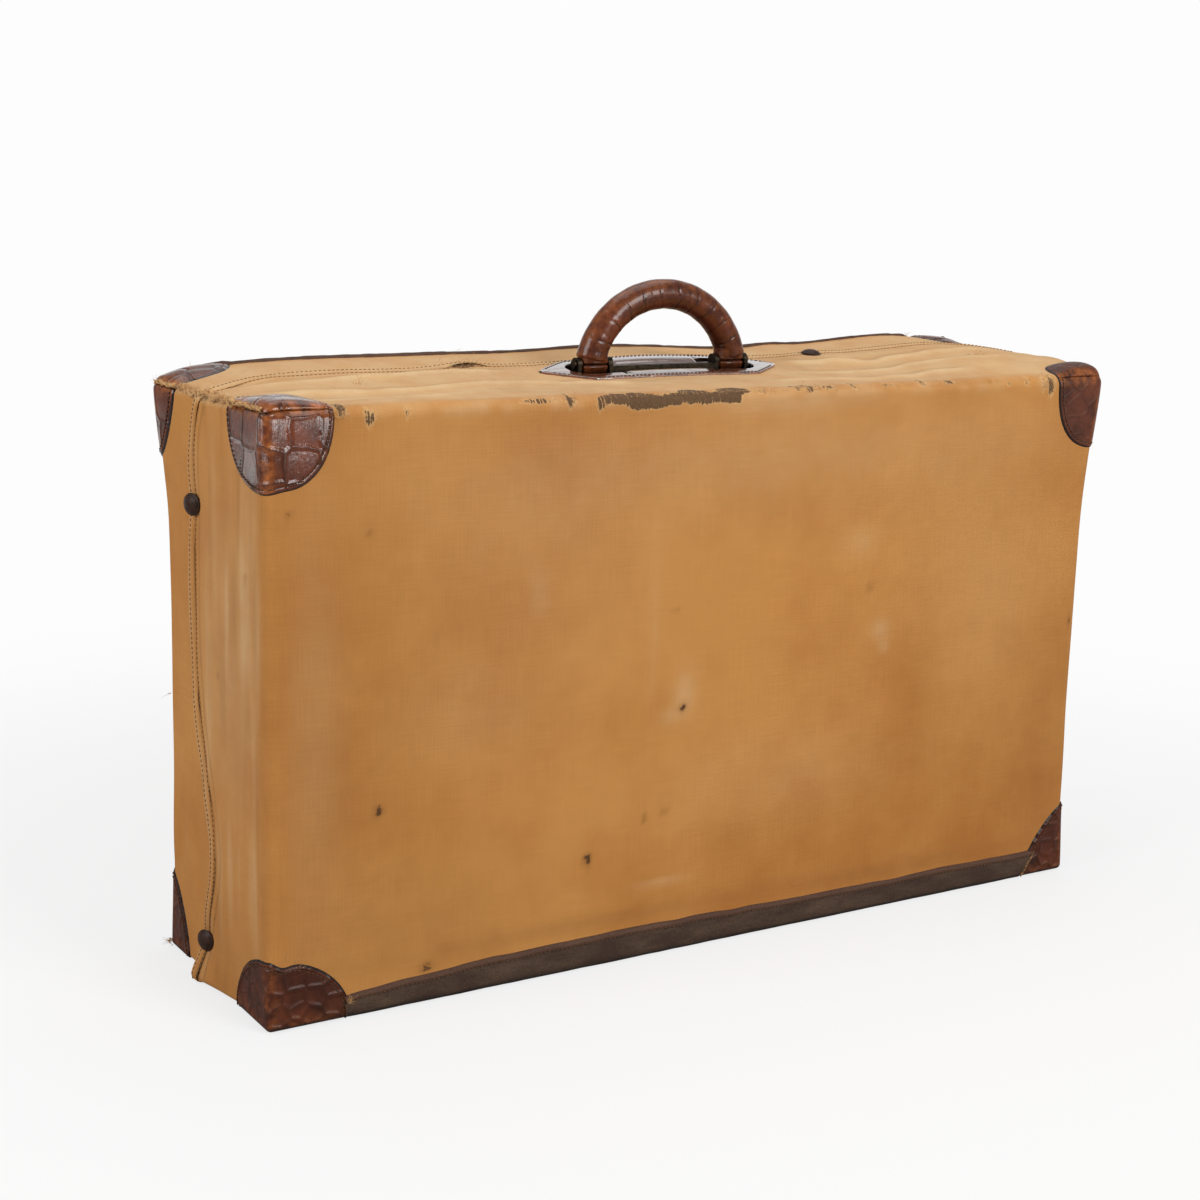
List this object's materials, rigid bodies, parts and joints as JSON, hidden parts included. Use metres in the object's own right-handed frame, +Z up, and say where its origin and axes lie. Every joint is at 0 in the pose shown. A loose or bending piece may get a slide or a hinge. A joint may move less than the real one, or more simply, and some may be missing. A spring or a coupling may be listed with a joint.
{
  "type": "suitcase",
  "caption": "Long hard suitcase standing on its hinge side in a fitted canvas cover with leather corners, an arched leather handle on pins and a hinged back half.",
  "frame": {"origin": "on the floor, under the middle of the case's bounding box", "axes": "+X along the length to the right seen from the front, +Y to the back half, +Z up"},
  "size_m": [0.7116, 0.186, 0.4826],
  "materials": {
    "canvas": "ochre cotton twill, worn and stained",
    "croc_leather": "crocodile-grained leather, polished red-brown",
    "strip_leather": "plain dark brown leather, matt and rubbed",
    "stud_enamel": "dark brown enamel",
    "bronze": "bronzed brass, darkened",
    "fibreboard": "pressed fibreboard, satin",
    "lining": "printed-paper style cloth lining, plain buff",
    "lip_wood": "planed softwood",
    "steel": "plain sheet steel"
  },
  "bodies": {
    "front_half": {"cover_front": "canvas", "corner_front_top_left": "croc_leather", "corner_front_top_right": "croc_leather", "corner_front_bottom_left": "croc_leather", "corner_front_bottom_right": "croc_leather", "front_bottom_strip": "strip_leather", "handle_patch": "croc_leather", "stud_caps": "stud_enamel", "case_base": "fibreboard", "base_lining": "lining", "frame_lip": "lip_wood", "base_hinge_leaves": "steel", "hinge_pins": "steel", "base_hinge_rivets": "steel", "lock_plate_left": "steel", "lock_plate_right": "steel", "handle_plate": "bronze", "handle_pins": "bronze", "handle_washers": "bronze"},
    "back_half": {"cover_back": "canvas", "corner_back_top_left": "croc_leather", "corner_back_top_right": "croc_leather", "corner_back_bottom_left": "croc_leather", "corner_back_bottom_right": "croc_leather", "back_top_strip": "strip_leather", "back_bottom_strip": "strip_leather", "stud_posts": "bronze", "case_lid": "fibreboard", "lid_lining": "lining", "lid_hinge_leaves": "steel", "lid_hinge_rivets": "steel", "lock_hasp_left": "steel", "lock_hasp_right": "steel"},
    "handle": {"handle_grip": "croc_leather", "handle_core": "steel", "handle_foot_left": "croc_leather", "handle_foot_right": "croc_leather"},
    "lock_bolt_left": {"lock_bolt_left": "bronze"},
    "lock_bolt_right": {"lock_bolt_right": "bronze"}
  },
  "joints": [
    {"name": "lid_hinge", "type": "hinge", "parent": "front_half", "child": "back_half", "pos_m": [0, 0.03, 0.0048], "axis": [-1, 0, 0], "range_deg": [0, 90]},
    {"name": "handle_fold", "type": "hinge", "parent": "front_half", "child": "handle", "pos_m": [0, 0, 0.424], "axis": [1, 0, 0], "range_deg": [-40, 60]},
    {"name": "lock_slide_left", "type": "slide", "parent": "front_half", "child": "lock_bolt_left", "axis": [-1, 0, 0], "range_m": [0, 0.007]},
    {"name": "lock_slide_right", "type": "slide", "parent": "front_half", "child": "lock_bolt_right", "axis": [1, 0, 0], "range_m": [0, 0.007]}
  ]
}
